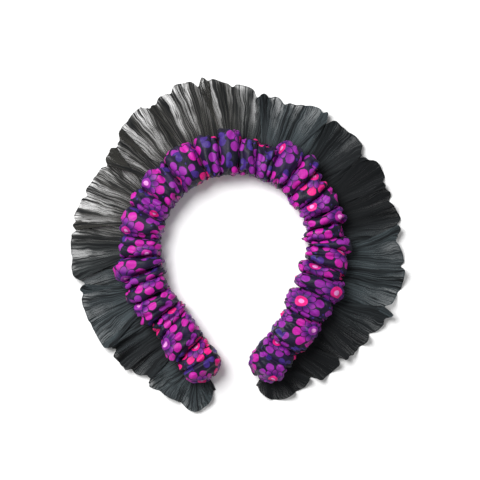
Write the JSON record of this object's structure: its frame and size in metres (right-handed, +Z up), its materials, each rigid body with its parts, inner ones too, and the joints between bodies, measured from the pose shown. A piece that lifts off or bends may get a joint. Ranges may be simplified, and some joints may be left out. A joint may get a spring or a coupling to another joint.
{
  "type": "scrunchie headband",
  "caption": "Gathered scrunchie headband on a hidden hoop, open at the nape, with a pleated sheer ruffle round its outer seam.",
  "frame": {"origin": "middle of the outline, on the surface that the headband lies on", "axes": "+Z up, out of the face that the band lies on; -Y towards the open end between the tips; +X to the right seen from above"},
  "size_m": [0.278, 0.2796, 0.0284],
  "materials": {
    "hoop": "matte",
    "sleeve": "soft printed satin weave",
    "ruffle": "sheer crinkled crepe"
  },
  "bodies": {
    "root": {"hoop": "hoop", "sleeve": "sleeve", "ruffle": "ruffle"}
  },
  "joints": []
}
